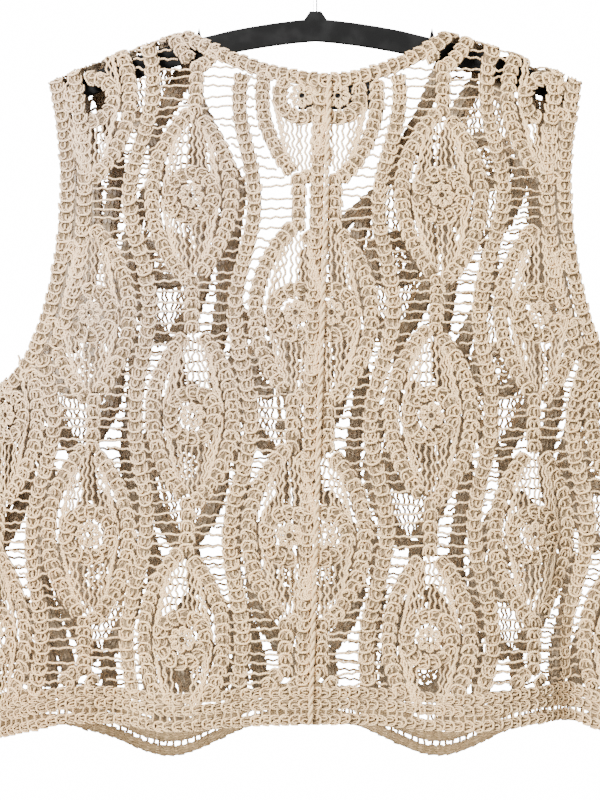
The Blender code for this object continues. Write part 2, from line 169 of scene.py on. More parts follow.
def girth_table(sheet):
    """x and fullness at even shares of the girth, left side to right side, and the girth of each side."""
    middle = 200
    angle = np.linspace(-math.pi / 2, math.pi / 2, 2 * middle + 1)
    across = np.sign(angle) * np.abs(np.sin(angle)) ** (2 / ROUNDNESS)
    full = np.maximum(np.cos(angle), 0.0) ** (2 / ROUNDNESS)
    xs, fulls, left, right = [], [], [], []
    for level in LEVELS:
        line = raised(sheet, half_width(level) * across, level, full)
        run = np.concatenate([[0.0], np.cumsum(np.linalg.norm(np.diff(line, axis=0), axis=1))])
        run -= run[middle]
        at = np.where(SHARES < 0, -SHARES * run[0], SHARES * run[-1])
        xs.append(np.interp(at, run, line[:, 0]))
        fulls.append(np.interp(at, run, full))
        left.append(-run[0])
        right.append(run[-1])
    return np.array(xs), np.array(fulls), np.array(left), np.array(right)


TABLE = {sheet: girth_table(sheet) for sheet in (BACK, FRONT)}


def side_girth(sheet, sign, level):
    """Girth from the middle to the side at this level."""
    return np.interp(level, LEVELS, TABLE[sheet][3 if sign > 0 else 2])


def looked_up(table, level, share):
    """Value of a table between its rows and columns."""
    a = np.clip((level - LEVELS[0]) / (LEVELS[1] - LEVELS[0]), 0, len(LEVELS) - 1.001)
    b = np.clip((share + 1) * HALF, 0, 2 * HALF - 0.001)
    i, j = a.astype(int), b.astype(int)
    a, b = a - i, b - j
    return ((table[i, j] * (1 - b) + table[i, j + 1] * b) * (1 - a)
            + (table[i + 1, j] * (1 - b) + table[i + 1, j + 1] * b) * a)


def surface(sheet, girth, level):
    """Points of the cloth's inner face at arrays of girth and level."""
    girth, level = np.broadcast_arrays(np.asarray(girth, float), np.asarray(level, float))
    whole = np.where(girth < 0, side_girth(sheet, -1, level), side_girth(sheet, 1, level))
    share = np.clip(girth / whole, -1, 1)
    xs, fulls = TABLE[sheet][:2]
    return raised(sheet, looked_up(xs, level, share), level, looked_up(fulls, level, share))


def lifted(sheet, girth, level, height):
    """Points that stand this height outward from the inner face."""
    step = 0.0012
    here = surface(sheet, girth, level)
    along = surface(sheet, girth + step, level) - surface(sheet, girth - step, level)
    up = surface(sheet, girth, level + step) - surface(sheet, girth, level - step)
    out = np.cross(along, up) * -sheet
    size = np.linalg.norm(out, axis=-1, keepdims=True)
    out = out / np.maximum(size, 1e-12)
    return here + out * np.asarray(height)[..., None]


def girth_at(sheet, x, level):
    """Signed girth of the place over x at this level."""
    share = np.linspace(-1, 1, 801)
    row = looked_up(TABLE[sheet][0], np.full(share.shape, level), share)
    s = float(np.interp(x, row, share))
    return s * float(side_girth(sheet, 1 if s >= 0 else -1, level))


print("side girth at the hem", round(float(side_girth(BACK, 1, HEM_LEVEL)), 4))

# %% [markdown]
# ## The outline of the cut
# On the real top the neck, the armholes and the hem are bound edges. They could be drawn as Bezier
# curves, but the edging tapes and the lace both need each edge moved into the cloth by some width. A
# function of t, which runs from 0 to 1 along the edge, gives that for any width.


# %% Edges
def lean(sheet, level):
    """Where the middle seam runs at this level. It isn't quite upright."""
    top, hem = SEAMS[sheet]
    return top + (hem - top) * np.clip((NECK_LEVEL - level) / (NECK_LEVEL - HEM_LEVEL), 0.0, 1.05)


def neck_edge(sheet, t, sign):
    if sheet == BACK:
        x = sign * NECK_HALF * t + lean(BACK, NECK_LEVEL - BACK_NECK_DROP) * (1 - t)
        level = NECK_LEVEL - BACK_NECK_DROP * (1 - t ** BACK_NECK_POWER)
    else:
        ts, left, right, levels = zip(*V_NECK)
        x = np.interp(t, ts, left if sign < 0 else right)
        level = np.interp(t, ts, levels)
    return np.array((girth_at(sheet, x, level), level))


def armhole_edge(sheet, t, sign):
    deepest = 0.34
    if t < deepest:
        x = TIP_HALF + (ARMHOLE_IN - TIP_HALF) * math.sin(t / deepest * math.pi / 2)
        top = float(shoulder(TIP_HALF))
        level = top + (ARMHOLE_IN_LEVEL - top) * t / deepest
        return np.array((girth_at(sheet, sign * x, level), level))
    turn = (t - deepest) / (1 - deepest) * math.pi / 2
    level = ARMHOLE_IN_LEVEL + (UNDERARM_LEVEL - ARMHOLE_IN_LEVEL) * math.sin(turn) ** 1.15
    inner = abs(girth_at(sheet, sign * ARMHOLE_IN, level))
    side = side_girth(sheet, sign, level)
    return np.array((sign * (side - (side - inner) * max(math.cos(turn), 0.0) ** 0.85), level))


def hem_edge(sheet, share, sign):
    base, drop = HEMS[sheet]
    middle = lean(sheet, HEM_LEVEL)
    from_middle = share * (side_girth(sheet, sign, HEM_LEVEL) - sign * middle)
    side = smooth((share - 0.62) / 0.38)
    level = base - drop * np.exp(-((from_middle - LOBE_AT) / LOBE_HALF_WIDTH) ** 2) * (1 - side)
    level = level + (SIDE_HEM_LEVEL - level) * side
    return np.array((middle + share * (sign * side_girth(sheet, sign, level) - middle), level))


def moved(edge, sheet, t, sign, by, from_ridge):
    """A point of an edge moved into the cloth. Close to the shoulder ridge it moves along the ridge."""
    girth, level = edge(sheet, t, sign)
    before, after = edge(sheet, max(t - 0.03, 0.0), sign), edge(sheet, min(t + 0.03, 1.0), sign)
    run = (after - before) / np.linalg.norm(after - before)
    across, down = sign * run[1], -sign * run[0]
    near = 1 - float(smooth(from_ridge / 0.12))
    slope = float(shoulder(abs(girth) + math.copysign(by, across * sign)) - shoulder(abs(girth)))
    across = across * (1 - near) + math.copysign(near, across)
    return np.array((girth + across * by, level + down * by * (1 - near) + slope * near))


def neck_point(sheet, t, sign, by):
    if t == 0:
        return neck_edge(sheet, 0.0, sign) - np.array((0.0, by))
    if t == 1:
        x = sign * (NECK_HALF + by)
        return np.array((girth_at(sheet, x, float(shoulder(x))), float(shoulder(x))))
    return moved(neck_edge, sheet, t, sign, by, 1 - t)


def armhole_point(sheet, t, sign, by):
    if t == 0:
        x = sign * (TIP_HALF - by)
        return np.array((girth_at(sheet, x, float(shoulder(x))), float(shoulder(x))))
    if t == 1:
        level = UNDERARM_LEVEL - by
        return np.array((sign * float(side_girth(sheet, sign, level)), level))
    girth, level = moved(armhole_edge, sheet, t, sign, by, t)
    return np.array((sign * min(sign * girth, float(side_girth(sheet, sign, level))), level))


def hem_point(sheet, share, sign, up):
    girth, level = hem_edge(sheet, share, sign)
    return np.array((girth, level + up))


# %% The space between the edgings, as one closed outline for each half
def lace_outline(sheet, sign, under=1.5 * MM):
    """The outline of one half's lace. It reaches a little under the edgings, so that no gap shows.

    It runs along the hem, up the side, round the armhole, along the shoulder and round the neck."""
    points = [hem_point(sheet, s, sign, HEM_HEIGHT - under) for s in np.linspace(0, 1, 40)]
    side_levels = np.linspace(points[-1][1], UNDERARM_LEVEL - BAND, 12)
    side = [(sign * float(side_girth(sheet, sign, z)), z) for z in side_levels]
    points += [np.array(p) for p in side[1:]]
    points += [armhole_point(sheet, t, sign, BAND - under) for t in np.linspace(1, 0, 40)]
    points += [neck_point(sheet, t, sign, BAND - under) for t in np.linspace(1, 0, 50)]
    points = [np.array(p, float) for p in points]
    points[0][0] = lean(sheet, points[0][1])
    points[-1][0] = lean(sheet, points[-1][1])
    return np.array(points)


def within(outline, girth, level):
    """True where a place lies inside a closed outline."""
    inside = np.zeros(np.shape(girth), bool)
    ax, ay = outline[-1]
    for bx, by in outline:
        crosses = (ay > level) != (by > level)
        if ay != by:
            inside ^= crosses & (girth < (bx - ax) * (level - ay) / (by - ay) + ax)
        ax, ay = bx, by
    return inside


HALVES = [
    ("back_left", BACK, -1),
    ("back_right", BACK, 1),
    ("front_left", FRONT, -1),
    ("front_right", FRONT, 1),
]
OUTLINES = {name: lace_outline(sheet, sign) for name, sheet, sign in HALVES}
for name, outline in OUTLINES.items():
    print(name, "reaches from", outline.min(0).round(3), "to", outline.max(0).round(3))

# %% [markdown]
# ## The yarn
# A crochet stitch is one thick strand, looped round itself. Beveled curves would give it too, but
# thousands of them are slow, so one strand is made once, as a short tube extruded from a ring, and
# stitches are bent copies of it. A stitch is drawn flat, with u along the tape, v across it and h off the
# cloth.

# %% Strands and stitches
ROW = 8.1 * MM
TAPE = 13.0 * MM
# Shares of a tape's width: its ribbon, and the room that a row needs to its neighbours.
RIBBON_SHARE, LEAST_APART = 0.84, 0.46
POST_RADIUS = 0.85 * MM
LOOP_RADIUS = 0.95 * MM
THREAD_RADIUS = 0.98 * MM
MIDDLE_HEIGHT = 1.2 * MM


def strand(sides, steps):
    """A straight tube: each vertex's ring and angle, and each face's corners and their UVs."""
    bm = bmesh.new()
    ring = bmesh.ops.create_circle(bm, segments=sides, radius=1.0, cap_ends=False)["verts"]
    edges = list({e for v in ring for e in v.link_edges})
    for step in range(steps):
        grown = bmesh.ops.extrude_edge_only(bm, edges=edges)["geom"]
        moving = [g for g in grown if isinstance(g, bmesh.types.BMVert)]
        bmesh.ops.translate(bm, verts=moving, vec=(0, 0, 1))
        edges = [g for g in grown if isinstance(g, bmesh.types.BMEdge)]
    bmesh.ops.recalc_face_normals(bm, faces=bm.faces[:])
    bm.verts.index_update()
    at = np.array([v.co for v in bm.verts])
    angle = np.arctan2(at[:, 1], at[:, 0])
    faces, uvs = [], []
    for face in bm.faces:
        faces.append([v.index for v in face.verts])
        turns = np.array([angle[v.index] / (2 * math.pi) for v in face.verts]) % 1.0
        if turns.max() - turns.min() > 0.5:
            turns[turns < 0.5] += 1.0
        uvs.append([(v.co.z, turn) for v, turn in zip(face.verts, turns)])
    bm.free()
    ring = np.rint(at[:, 2]).astype(int)
    return {"ring": ring, "angle": angle, "faces": np.array(faces), "uv": np.array(uvs)}


POST = strand(4, 3)
CURL = strand(4, 6)
LOOP = strand(4, 7)
THREAD = strand(4, 6)
LONG_THREAD = strand(4, 13)
CORD = strand(6, 6)
print("a post has", len(POST["faces"]), "faces and a loop", len(LOOP["faces"]))


def bent(tube, line, radius):
    """The tube's vertices bent along lines of points, one point for each ring. line is (..., rings, 3)."""
    line = np.asarray(line, float)
    run = np.gradient(line, axis=-2)
    run /= np.maximum(np.linalg.norm(run, axis=-1, keepdims=True), 1e-12)
    flat = np.stack([-run[..., 1], run[..., 0], np.zeros_like(run[..., 0])], axis=-1)
    size = np.linalg.norm(flat, axis=-1, keepdims=True)
    flat = np.where(size > 1e-6, flat / np.maximum(size, 1e-6), (1.0, 0.0, 0.0))
    up = np.cross(run, flat)
    ring, angle = tube["ring"], tube["angle"]
    side = flat[..., ring, :] * np.cos(angle)[:, None] + up[..., ring, :] * np.sin(angle)[:, None]
    return line[..., ring, :] + side * radius


def joined(parts):
    """Several bent tubes as one shape. Each part is (tube, vertices)."""
    verts, faces, uvs, first = [], [], [], 0
    for tube, points in parts:
        verts.append(points)
        faces.append(tube["faces"] + first)
        uvs.append(tube["uv"])
        first += len(points)
    return {"verts": np.concatenate(verts), "faces": np.concatenate(faces), "uv": np.concatenate(uvs)}


def loop():
    """The loop round the row's far end, like a roof tile. It stands highest in its middle."""
    turn = np.linspace(-1.0, 1.0, 8)
    u = ROW * (1.02 - 0.86 * np.abs(turn) ** 3.0) + rng.uniform(-0.35, 0.35, 8) * MM
    v = TAPE * 0.45 * np.sin(turn * math.pi / 2) + rng.uniform(-0.3, 0.3, 8) * MM
    height = MIDDLE_HEIGHT + 1.15 * MM * (1 - turn ** 2)
    return LOOP, bent(LOOP, np.stack([u, v, height], axis=1), LOOP_RADIUS)


def curl(side, rise):
    """A strand that turns back on itself in one half of the row."""
    middle = np.array((ROW * rng.uniform(0.38, 0.58), side * TAPE * rng.uniform(0.13, 0.22)))
    turn = np.linspace(0.0, rng.uniform(1.15, 1.4), 7) - 0.75 + rng.uniform(-0.15, 0.15)
    turn *= side * math.pi
    reach = np.linspace(1.15, 0.75, 7)
    u = middle[0] + ROW * 0.32 * reach * np.cos(turn)
    v = middle[1] + TAPE * 0.17 * reach * np.sin(turn)
    height = MIDDLE_HEIGHT + rise * MM + rng.uniform(-0.3, 0.3, 7) * MM
    return CURL, bent(CURL, np.stack([u, v, height], axis=1), POST_RADIUS)


def post(side):
    """A strand that runs through one half of the row from end to end."""
    u = np.linspace(-0.10, 1.05, 4) * ROW
    v = -side * TAPE * np.array((0.16, 0.34, 0.20, 0.30)) * rng.uniform(0.8, 1.15)
    v += rng.uniform(-0.6, 0.6, 4) * MM
    height = MIDDLE_HEIGHT + rng.uniform(-0.3, 0.4, 4) * MM
    return POST, bent(POST, np.stack([u, v, height], axis=1), POST_RADIUS * 1.1)


def stitch_row():
    """One row of a tape. Curls and posts bulge from both faces, and the loop stands on the outer one."""
    return joined([loop(), curl(-1, 0.85), post(-1), curl(1, 0.0), post(1)])


ROWS_OF_STITCHES = [stitch_row() for _ in range(14)]
print(len(ROWS_OF_STITCHES), "kinds of row, each of", len(ROWS_OF_STITCHES[0]["faces"]), "faces")

# %% [markdown]
# ## The flat lace
# A maker works each tape as one long strip and turns it back on itself. Here a path is a line across the
# flat cloth, with its length measured along it, and a tape is a path with rows of stitches and a thin
# ribbon under them. Arrays along curves would also do, but they can't leave out a row, and here a row is
# left out where it would leave the outline or lie on an earlier tape.


# %% Paths, tapes and threads
class Path:
    """A line on the flat cloth, through points of girth and level."""

    def __init__(self, points):
        points = np.asarray(points, float)
        steps = np.linalg.norm(np.diff(points, axis=0), axis=1)
        run = np.concatenate([[0.0], np.cumsum(steps)])
        self.length = float(run[-1])
        self.even = np.linspace(0, self.length, max(int(self.length / (1.5 * MM)), 8))
        self.line = np.stack([np.interp(self.even, run, points[:, k]) for k in (0, 1)], axis=1)
        way = np.gradient(self.line, axis=0)
        self.tangent = way / np.maximum(np.linalg.norm(way, axis=1, keepdims=True), 1e-12)

    def at(self, s):
        """Place and direction at lengths s. Past an end the path goes straight on."""
        inside = np.clip(s, 0, self.length)
        place = [np.interp(inside, self.even, self.line[:, k]) for k in (0, 1)]
        way = [np.interp(inside, self.even, self.tangent[:, k]) for k in (0, 1)]
        return place[0] + way[0] * (s - inside), place[1] + way[1] * (s - inside), way[0], way[1]

    def bend(self, shape, starts):
        """Copies of a flat shape (u, v, h) along the path, as (girth, level, height)."""
        u = starts[:, None] + shape[..., 0]
        x, z, tx, tz = self.at(u)
        v = shape[..., 1]
        return np.stack([x - tz * v, z + tx * v, np.broadcast_to(shape[..., 2], x.shape)], axis=-1)


class Lace:
    """The flat parts of one piece, gathered until they are draped and made a mesh."""

    def __init__(self, sheet, outline=None):
        self.sheet, self.outline = sheet, outline
        self.rows, self.threads, self.ribbons, self.centres = [], [], [], np.zeros((0, 2))
        self.tape_area = 0.0

    def keep(self, x, z):
        """True for the places that lie in the piece."""
        if self.outline is None:
            return np.ones(np.shape(x), bool)
        return within(self.outline, x, z)

    def add(self, store, shape, points):
        """Keeps copies of a shape. points is (copies, vertices, 3)."""
        count, size = points.shape[:2]
        faces = shape["faces"][None] + (np.arange(count) * size)[:, None, None]
        store.append((points.reshape(-1, 3), faces.reshape(-1, 4), np.tile(shape["uv"], (count, 1, 1))))

    def tape(self, path, width=TAPE, row=ROW):
        """Rows of stitches along a path, with the ribbon under them."""
        count = max(int(round(path.length / row)), 1)
        starts = np.arange(count) * path.length / count
        middle = starts + row * 0.5
        x, z, _, _ = path.at(middle)
        kept = self.keep(x, z)
        if len(self.centres):
            gap = np.hypot(x[:, None] - self.centres[:, 0], z[:, None] - self.centres[:, 1]).min(axis=1)
            kept &= gap > width * LEAST_APART
        self.centres = np.concatenate([self.centres, np.stack([x, z], axis=1)[kept]])
        stretch = path.length / count / row
        kinds = rng.integers(0, len(ROWS_OF_STITCHES), count)
        for kind, stitch in enumerate(ROWS_OF_STITCHES):
            chosen = np.flatnonzero(kept & (kinds == kind))
            if len(chosen) == 0:
                continue
            size = rng.uniform(0.93, 1.07, (len(chosen), 1))
            turn = rng.uniform(-0.10, 0.10, (len(chosen), 1))
            flip = rng.choice((-1.0, 1.0), (len(chosen), 1))
            u, v, h = stitch["verts"].T
            shape = np.empty((len(chosen), len(u), 3))
            across = v * width / TAPE * size
            shape[..., 0] = u * stretch + turn * across
            aside = rng.uniform(-0.35, 0.35, (len(chosen), 1)) * MM
            shape[..., 1] = across * flip - turn * (u - row / 2) + aside
            shape[..., 2] = h + rng.uniform(-0.25, 0.35, (len(chosen), 1)) * MM
            self.add(self.rows, stitch, path.bend(shape, starts[chosen]))
        self.ribbon(path, starts[kept], path.length / count, width * RIBBON_SHARE)
        self.tape_area += float(kept.sum()) * path.length / count * width * RIBBON_SHARE

    def ribbon(self, path, starts, row, width):
        """The ribbon under these rows, as one strip for each unbroken stretch of them."""
        if len(starts) == 0:
            return
        breaks = np.flatnonzero(np.diff(starts) > row * 1.5) + 1
        for group in np.split(starts, breaks):
            steps = len(group) * 2 + 1
            s = np.linspace(group[0], group[-1] + row, steps)
            self.ribbons.append((path, s, width))

    def thread(self, line, tube=THREAD):
        """One thread, a line of as many points as its tube has rings, if its middle lies in the piece."""
        girth, level, _ = (line[0] + line[-1]) / 2
        if self.keep(girth, level):
            self.add(self.threads, tube, bent(tube, line[None], THREAD_RADIUS))


def wavy(start, end, waves, sway, rings=7):
    """Points of one thread between two flat places."""
    start, end = np.asarray(start, float), np.asarray(end, float)
    t = np.linspace(0, 1, rings)
    along = end - start
    size = max(float(np.linalg.norm(along)), 1e-6)
    side = np.array((-along[1], along[0])) / size
    phase = rng.uniform(0, 2 * math.pi)
    swing = np.sin(t * waves * 2 * math.pi + phase) - np.sin(phase) * (1 - t)
    off = sway * swing * np.sin(math.pi * t) ** 0.4
    flat = start + along * t[:, None] + side * off[:, None]
    height = MIDDLE_HEIGHT + rng.uniform(-0.3, 0.5) * MM + 0.4 * MM * np.sin(t * math.pi)
    return np.column_stack([flat, height])


# %% [markdown]
# ## The pattern
# Columns of almonds stand 80 mm apart, and every second column is half a repeat lower. In each almond is
# a ring of tape round a small rosette. A stem joins each almond to the next, and a winding tape runs
# between two columns. One motif could be modelled once and copied, but the knit is drawn out unevenly and
# is cut off at the edges, so each motif is worked from the same few sizes where it lies.

# %% Sizes of the pattern
COLUMN_PITCH, REPEAT = 0.080, 0.1705
ALMOND_HALF_WIDTH, ALMOND_HALF_HEIGHT = 29.5 * MM, 67 * MM
RING_RADIUS = 17.6 * MM
AXIS_FROM_SEAM = {BACK: -7.0 * MM, FRONT: 11.0 * MM}
FRONT_DROP = 43 * MM
ARMHOLE_TAPES_APART = 14.5 * MM
# In the third column an almond above this level is cut off at the shoulder and has no rosette.
CUT_OFF_LEVEL = -0.160
FIRST_COLUMN = 13.5 * MM
HIGH_COLUMN, LOW_COLUMN = -0.146, -0.225
WINDING = 7 * MM
FAN_THREADS, FAN_ANGLE = 15, 1.35
SHORTEST_THREAD, LONG_FROM, WAVE = 2 * MM, 14 * MM, 9 * MM
FRONT_WIDER = 1.15
# Columns: level, then how far the left and the right half are drawn out sideways there.
DRAWN_OUT = [
    (-0.225, 1.040, 1.035),
    (-0.395, 0.960, 0.990),
    (-0.5675, 0.985, 1.030),
    (-0.650, 1.000, 1.020),
]


def drawn(sheet, sign, level):
    """How far the knit is drawn out sideways at this level: 1 where it is as it was worked."""
    if sheet == FRONT:
        return np.ones(np.shape(level))
    levels, left, right = zip(*DRAWN_OUT[::-1])
    return np.interp(level, levels, left if sign < 0 else right)


def almond_half_width(rise):
    """Half the width of the almond's outline at a height from its middle."""
    s = np.clip(np.abs(rise) / ALMOND_HALF_HEIGHT, 0, 1)
    return ALMOND_HALF_WIDTH * (1 - s ** 2.1) ** 0.95 + 1.5 * MM


def motif_levels(column, sheet):
    """Levels of the middles of a column's almonds, from the top one down."""
    first = HIGH_COLUMN if column % 2 == 0 else LOW_COLUMN
    if sheet == FRONT:
        first -= FRONT_DROP
    return [first + REPEAT * (1 - k) for k in range(5)]


def rosette(lace, girth, level):
    """The small flower in the middle: a ring with petals round it, and spokes to the tape."""
    petals = 8
    place = np.array((girth, level))
    for k in range(petals):
        angle = 2 * math.pi * (k + rng.uniform(-0.15, 0.15)) / petals
        out = np.array((math.cos(angle), math.sin(angle)))
        side = np.array((-out[1], out[0]))
        turn = np.linspace(-0.85, 0.85, 7) * math.pi
        for far, wide, rise in ((3.2, 2.7, 0.9), (1.5, 1.2, 0.4)):
            reach = 6.5 * MM + far * MM * np.cos(turn)
            flat = place + out * reach[:, None] + side * wide * MM * np.sin(turn)[:, None]
            height = MIDDLE_HEIGHT + rise * MM + rng.uniform(-0.3, 0.3, 7) * MM
            lace.thread(np.column_stack([flat, height]))
        if k % 2 == 0 or rng.random() < 0.7:
            start = place + out * 8.4 * MM
            end = place + out * 14 * MM + side * rng.uniform(-2, 2) * MM
            lace.thread(wavy(start, end, 0.6, 0.7 * MM))
    for part in range(4):
        turn = np.linspace(part, part + 1.1, 7) * 2 * math.pi / 4
        flat = place + 2.9 * MM * np.stack([np.cos(turn), np.sin(turn)], axis=1)
        lace.thread(np.column_stack([flat, np.full(7, MIDDLE_HEIGHT + 0.6 * MM)]))


def fan(lace, place, up):
    """The threads between the ring and a point of the almond: the upper one where up is 1, or the lower."""
    for k in np.linspace(-1, 1, FAN_THREADS):
        angle = k * FAN_ANGLE
        start = (RING_RADIUS + 5.5 * MM) * np.array((math.sin(angle), math.cos(angle)))
        levels = np.linspace(start[1], ALMOND_HALF_HEIGHT, 60)
        aim = start[0] * (0.35 + 0.35 * (1 - abs(k)))
        x = start[0] + (aim - start[0]) * (levels - start[1]) / (ALMOND_HALF_HEIGHT - start[1])
        room = almond_half_width(levels) - 5.0 * MM - np.abs(x)
        last = int(np.argmax(room < 0)) if (room < 0).any() else len(levels) - 1
        end = np.array((x[last], levels[last]))
        length = float(np.linalg.norm(end - start))
        if length < SHORTEST_THREAD:
            continue
        tube, rings = (LONG_THREAD, 14) if length > LONG_FROM else (THREAD, 7)
        first, final = place + start * (1, up), place + end * (1, up)
        lace.thread(wavy(first, final, length / WAVE, 1.2 * MM, rings), tube)


def almond(lace, girth, level, width, cut_off=False):
    """One motif: the outline's two sides, the ring, the rosette and the threads beyond the ring."""
    rise = np.linspace(-1, 1, 60) * ALMOND_HALF_HEIGHT
    for sign in (-1, 1):
        side = np.column_stack([girth + sign * almond_half_width(rise), level + rise])
        lace.tape(Path(side), width=width)
    turn = np.linspace(0, 2 * math.pi, 60) + rng.uniform(0, 1)
    ring = np.column_stack([girth + RING_RADIUS * np.cos(turn), level + RING_RADIUS * np.sin(turn)])
    lace.tape(Path(ring), width=width)
    if not cut_off:
        rosette(lace, girth, level)
    for up in (-1, 1):
        fan(lace, np.array((girth, level)), up)


def winding_girth(column, sheet, level):
    """Where the tape between this column and the next one runs, measured from the axis."""
    phase = (level - motif_levels(column, sheet)[1]) / REPEAT * 2 * math.pi
    return (FIRST_COLUMN + (column + 0.5) * COLUMN_PITCH) + WINDING * np.cos(phase)


def column_edge(column, sheet, level):
    """Half the width of what stands in a column at this level: an almond with its tape, or a stem."""
    nearest = min(motif_levels(column, sheet), key=lambda z: abs(z - level))
    rise = abs(level - nearest)
    if rise < ALMOND_HALF_HEIGHT:
        slope = abs(float(almond_half_width(rise + MM) - almond_half_width(rise - MM))) / (2 * MM)
        return float(almond_half_width(rise)) + TAPE / 2 * math.sqrt(1 + slope * slope)
    return TAPE / 2


def placed(sheet, sign, out, level):
    """Girth of a place this far out from the pattern's axis, in one half of a sheet."""
    return lean(sheet, level) + AXIS_FROM_SEAM[sheet] + sign * out * drawn(sheet, sign, level)


def columns(lace, sheet, sign, width):
    """The stems between the almonds of every column, and then the almonds."""
    reach = REPEAT / 2 - ALMOND_HALF_HEIGHT + 4 * MM
    places = [(column, level) for column in range(4) for level in motif_levels(column, sheet)]
    for column, level in places:
        middle = level + REPEAT / 2
        ends = np.array((middle - reach, middle + reach))
        line = placed(sheet, sign, FIRST_COLUMN + column * COLUMN_PITCH, ends)
        lace.tape(Path(np.column_stack([line, ends])), width=width * 0.95)
    for column, level in places:
        girth = float(placed(sheet, sign, FIRST_COLUMN + column * COLUMN_PITCH, level))
        almond(lace, girth, level, width, cut_off=column == 2 and level > CUT_OFF_LEVEL)


def ladder(lace, sheet, sign, column, levels):
    """The short threads from a winding tape to the columns on both its sides."""
    for level in levels:
        at = float(winding_girth(column, sheet, level))
        for other, way in ((column, -1), (column + 1, 1)):
            edge = FIRST_COLUMN + other * COLUMN_PITCH - way * column_edge(other, sheet, level)
            start = at + way * TAPE * 0.40
            gap = (edge - start) * way
            if gap < 0.5 * MM:
                continue
            shift = rng.uniform(-2.6, 2.6) * MM
            a = (float(placed(sheet, sign, start, level)), level + rng.uniform(-1, 1) * MM)
            b = (float(placed(sheet, sign, edge + way * 1.5 * MM, level)), level + shift)
            lace.thread(wavy(a, b, 0.6 + gap / (11 * MM), 0.8 * MM))


def half_lace(sheet, sign, outline):
    """Everything in one half of a sheet. Where tapes would cross, the one that is made first lies whole.

    Only one half of each sheet has the straight tape beside the seam."""
    lace = Lace(sheet, outline)
    width = TAPE if sheet == BACK else TAPE * FRONT_WIDER
    levels = np.linspace(outline[:, 1].max() + 10 * MM, outline[:, 1].min() - 10 * MM, 120)
    if sign == sheet:
        lace.tape(Path(np.column_stack([placed(sheet, sign, 0.0, levels), levels])), width=width * 0.92)
    ts = np.linspace(0, 0.72, 60)
    inner = [armhole_point(sheet, t, sign, BAND * 0.5 + ARMHOLE_TAPES_APART) for t in ts]
    lace.tape(Path(np.array(inner)), width=width)
    columns(lace, sheet, sign, width)
    for column in range(3):
        line = placed(sheet, sign, winding_girth(column, sheet, levels), levels)
        lace.tape(Path(np.column_stack([line, levels])), width=width)
    for column in range(3):
        ladder(lace, sheet, sign, column, np.arange(levels[-1], levels[0], ROW))
    return lace


# %% [markdown]
# ## Draping
# The flat parts are laid on the cloth's surface all at once, as a maker pins lace to a form. A Curve or
# Surface Deform modifier could bend them, but the surface formula is exact and quick. The ribbon under
# the stitches is a strip from a bmesh grid, and a Solidify modifier gives it its thickness.


# %% Making meshes from the flat parts
def mesh_object(name, verts, faces, uvs, material, painted_light=None):
    """A smooth mesh object. A float attribute tells its finish how far each point stands out of the stitch,
    which sets the painted shade on it.
    """
    mesh = bpy.data.meshes.new(name)
    mesh.from_pydata(verts.tolist(), [], faces.tolist())
    layer = mesh.uv_layers.new(name="UVMap")
    layer.data.foreach_set("uv", uvs.reshape(-1).astype(np.float32))
    if painted_light is not None:
        layer = mesh.attributes.new("painted_light", "FLOAT", "POINT")
        layer.data.foreach_set("value", painted_light.astype(np.float32))
    mesh.polygons.foreach_set("use_smooth", np.ones(len(mesh.polygons), bool))
    mesh.update()
    obj = bpy.data.objects.new(name, mesh)
    bpy.context.collection.objects.link(obj)
    mesh.materials.append(material)
    return obj


def draped(name, lace_parts, material, full=1.5 * MM, least=0.0, inner=0.45):
    """One mesh from the gathered parts of one or more laces. lace_parts is a list of (sheet, parts).

    A point is lit in full when it stands this far out, and inner scales that for the side by the body."""
    verts, faces, uvs, painted_light, first = [], [], [], [], 0
    for sheet, parts in lace_parts:
        for points, quads, uv in parts:
            verts.append(lifted(sheet, points[:, 0], points[:, 1], points[:, 2]))
            faces.append(quads + first)
            uvs.append(uv)
            above = points[:, 2] - MIDDLE_HEIGHT
            painted_light.append(np.clip(np.where(above < 0, -above * inner, above) / full, least, 1))
            first += len(points)
    verts, faces, uvs, painted_light = (np.concatenate(found) for found in (verts, faces, uvs, painted_light))
    return mesh_object(name, verts, faces, uvs, material, painted_light)


def strip(steps):
    """A flat strip: each vertex's step and side, and each face's corners."""
    bm = bmesh.new()
    bmesh.ops.create_grid(bm, x_segments=steps, y_segments=1, size=0.5)
    bm.verts.index_update()
    at = np.array([v.co for v in bm.verts])
    faces = np.array([[v.index for v in face.verts] for face in bm.faces])
    bm.free()
    return np.rint((at[:, 0] + 0.5) * steps).astype(int), at[:, 1], faces


def ribbons(name, laces, inside, thick=0.5 * MM):
    """The strips of one or more laces as one thin solid. Its outer face lies in the stitches' shade, which
    is painted into its finish.
    """
    verts, faces, uvs, first = [], [], [], 0
    for lace in laces:
        for path, s, width in lace.ribbons:
            step, side, quads = strip(len(s) - 1)
            x, z, tx, tz = (found[step] for found in path.at(s))
            height = np.full(len(step), MIDDLE_HEIGHT - thick / 2)
            verts.append(lifted(lace.sheet, x - tz * side * width, z + tx * side * width, height))
            corners = np.column_stack([s[step] / ROW, side + 0.5])[quads]
            if lace.sheet == FRONT:
                quads, corners = quads[:, ::-1], corners[:, ::-1]
            faces.append(quads + first)
            uvs.append(corners)
            first += len(step)
    verts, faces, uvs = (np.concatenate(found) for found in (verts, faces, uvs))
    obj = mesh_object(name, verts, faces, uvs, yarn_under_painted_shade)
    obj.data.materials.append(inside)
    wall = obj.modifiers.new("wall", "SOLIDIFY")
    wall.thickness = thick
    wall.offset = 0
    wall.material_offset = 1
    return obj


# %% [markdown]
# ## Finishes
# Each finish is a node tree, written as formulas with a small class that wraps a socket. It could be
# wired by hand in the shader editor, but formulas are shorter and can be read.


